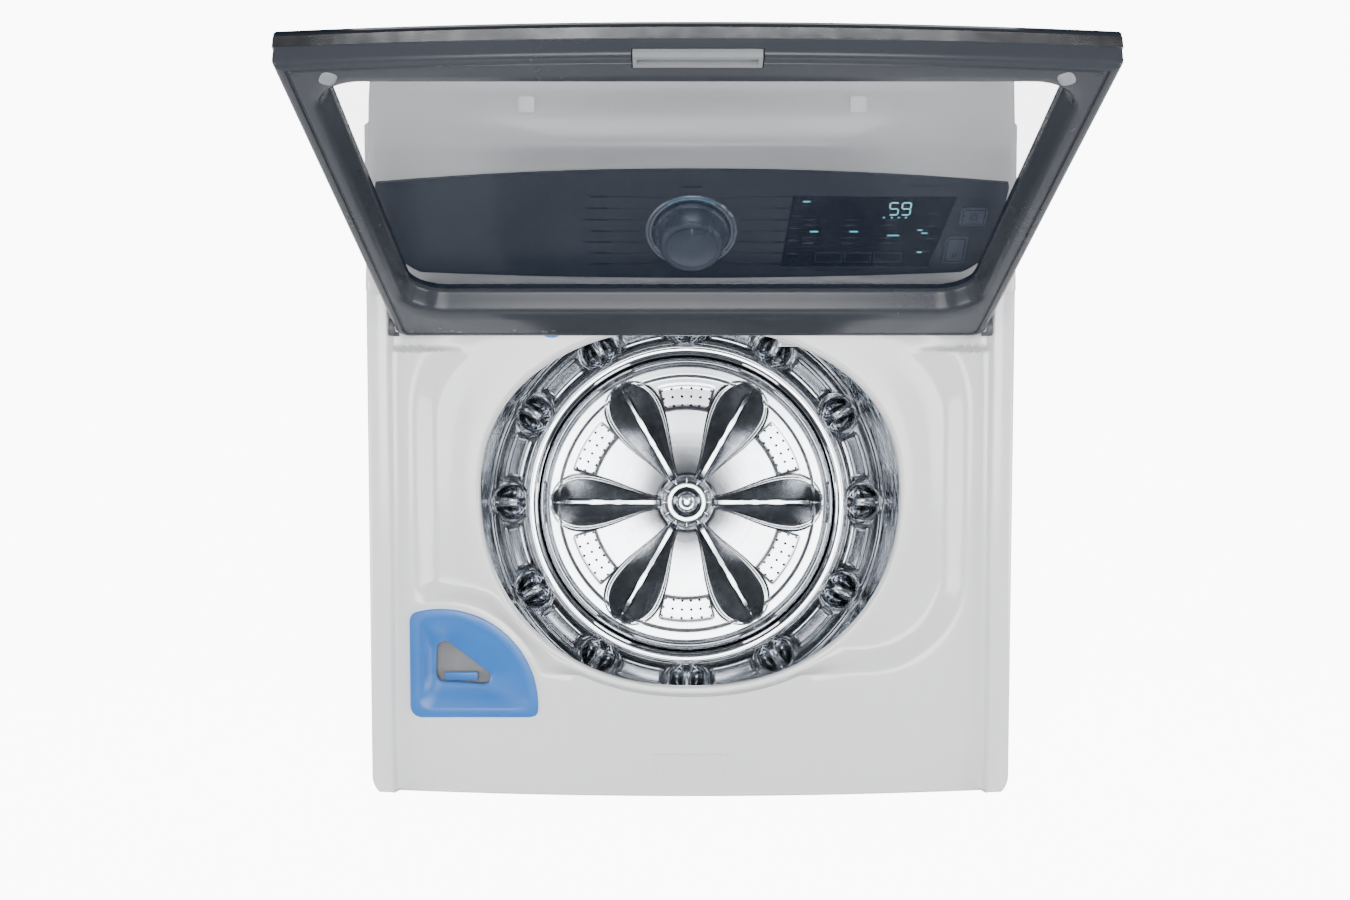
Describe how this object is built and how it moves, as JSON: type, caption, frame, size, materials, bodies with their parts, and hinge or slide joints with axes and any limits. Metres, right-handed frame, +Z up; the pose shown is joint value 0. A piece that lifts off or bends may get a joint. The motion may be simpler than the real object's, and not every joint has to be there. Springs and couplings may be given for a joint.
{
  "type": "top load washing machine",
  "caption": "Top load washing machine with an open glass lid, slanted console with knob and display, stainless basket, wash plate and sprung tub.",
  "frame": {"origin": "on the floor, under the middle of the machine's outline seen from above", "axes": "+X to the right as seen from the front, +Y to the back, +Z up"},
  "size_m": [0.686, 0.743, 1.4589],
  "materials": {
    "white_enamel": "gloss white enamel",
    "rear_zinc": "pale painted sheet",
    "white_plastic": "gloss white moulded plastic",
    "frame_plastic": "dark moulded plastic",
    "zinc": "zinc plated steel",
    "rubber": "matt rubber",
    "foot_rubber": "hard rubber and steel",
    "blue_plastic": "blue moulded plastic",
    "grey_plastic": "grey moulded plastic",
    "lid_plastic": "dark slate moulded plastic",
    "lid_glass": "tinted glass with a black border",
    "silver_trim": "satin silver",
    "navy_panel": "dark navy fascia",
    "display_black": "gloss black display",
    "knob_grey": "dark blue grey soft touch",
    "board_green": "circuit board",
    "tub_plastic": "pale grey filled plastic",
    "stainless": "polished stainless sheet",
    "cast_alloy": "as cast alloy",
    "copper_coils": "enamelled winding",
    "shaft_steel": "ground steel"
  },
  "bodies": {
    "cabinet": {"cabinet": "white_enamel", "rear_panel": "rear_zinc", "base_frame": "frame_plastic", "foot_lock_nuts": "zinc", "corner_brackets": "zinc", "top_cover": "white_plastic", "bleach_tray": "blue_plastic", "bleach_cup": "grey_plastic", "softener_cup": "blue_plastic", "grip_pad": "white_plastic", "lid_sensor": "frame_plastic", "hinge_brackets": "frame_plastic", "console_housing": "white_plastic", "console_rear_cover": "white_plastic", "control_panel": "navy_panel", "display_window": "display_black", "knob_ring": "silver_trim", "control_board": "board_green", "knob_encoder": "zinc", "screw_caps": "white_plastic", "water_valve": "white_plastic", "fill_hose": "grey_plastic", "fill_nozzle": "white_plastic", "drain_pump": "frame_plastic", "drain_hose": "grey_plastic", "drain_outlet": "frame_plastic", "cord_gland": "rubber", "suspension_rods": "zinc", "suspension_springs": "zinc", "sump_hose": "rubber", "cabinet_screws": "zinc"},
    "foot_front_left": {"foot_front_left": "foot_rubber"},
    "foot_front_right": {"foot_front_right": "foot_rubber"},
    "foot_rear_left": {"foot_rear_left": "foot_rubber"},
    "foot_rear_right": {"foot_rear_right": "foot_rubber"},
    "lid": {"lid_frame": "lid_plastic", "lid_glass": "lid_glass", "lid_trim": "silver_trim", "lid_grip": "grey_plastic", "lid_bumpers": "grey_plastic", "lid_seal": "rubber", "lid_hinge_pins": "zinc"},
    "knob": {"knob": "knob_grey"},
    "power_button": {"power_button": "knob_grey"},
    "start_button": {"start_button": "knob_grey"},
    "tub": {"outer_tub": "tub_plastic", "tub_ring": "tub_plastic", "bearing_housing": "cast_alloy", "main_bearings": "shaft_steel", "motor_stator": "copper_coils"},
    "basket": {"wash_basket": "stainless", "basket_base": "stainless", "balance_ring": "tub_plastic", "basket_hub": "cast_alloy", "spin_tube": "shaft_steel"},
    "wash_drive": {"wash_plate": "stainless", "plate_bolt": "stainless", "drive_shaft": "shaft_steel", "motor_rotor": "frame_plastic"}
  },
  "joints": [
    {"name": "lid_hinge", "type": "hinge", "parent": "cabinet", "child": "lid", "pos_m": [0, 0.13185, 0.97172], "axis": [1, 0, 0], "range_deg": [0, 112]},
    {"name": "knob_turn", "type": "hinge", "parent": "cabinet", "child": "knob", "pos_m": [0, 0.21111, 1.05528], "axis": [0, -0.7934, 0.6088], "continuous": true},
    {"name": "power_press", "type": "slide", "parent": "cabinet", "child": "power_button", "axis": [0, 0.7934, -0.6088], "range_m": [0, 0.0015], "stiffness_N_per_m": 800, "springref_m": -0.0015},
    {"name": "start_press", "type": "slide", "parent": "cabinet", "child": "start_button", "axis": [0, 0.7934, -0.6088], "range_m": [0, 0.0015], "stiffness_N_per_m": 800, "springref_m": -0.0015},
    {"name": "tub_bounce", "type": "slide", "parent": "cabinet", "child": "tub", "axis": [0, 0, 1], "range_m": [-0.012, 0.012], "stiffness_N_per_m": 6000, "springref_m": 0.05805, "deforming": ["suspension_springs", "sump_hose"]},
    {"name": "basket_spin", "type": "hinge", "parent": "tub", "child": "basket", "pos_m": [0, -0.0385, 0.5], "axis": [0, 0, 1], "continuous": true},
    {"name": "wash_plate_turn", "type": "hinge", "parent": "tub", "child": "wash_drive", "pos_m": [0, -0.0385, 0.45], "axis": [0, 0, 1], "continuous": true},
    {"name": "foot_front_left_screw", "type": "slide", "parent": "cabinet", "child": "foot_front_left", "axis": [0, 0, 1], "range_m": [-0.018, 0]},
    {"name": "foot_front_right_screw", "type": "slide", "parent": "cabinet", "child": "foot_front_right", "axis": [0, 0, 1], "range_m": [-0.018, 0]},
    {"name": "foot_rear_left_screw", "type": "slide", "parent": "cabinet", "child": "foot_rear_left", "axis": [0, 0, 1], "range_m": [-0.018, 0]},
    {"name": "foot_rear_right_screw", "type": "slide", "parent": "cabinet", "child": "foot_rear_right", "axis": [0, 0, 1], "range_m": [-0.018, 0]}
  ]
}
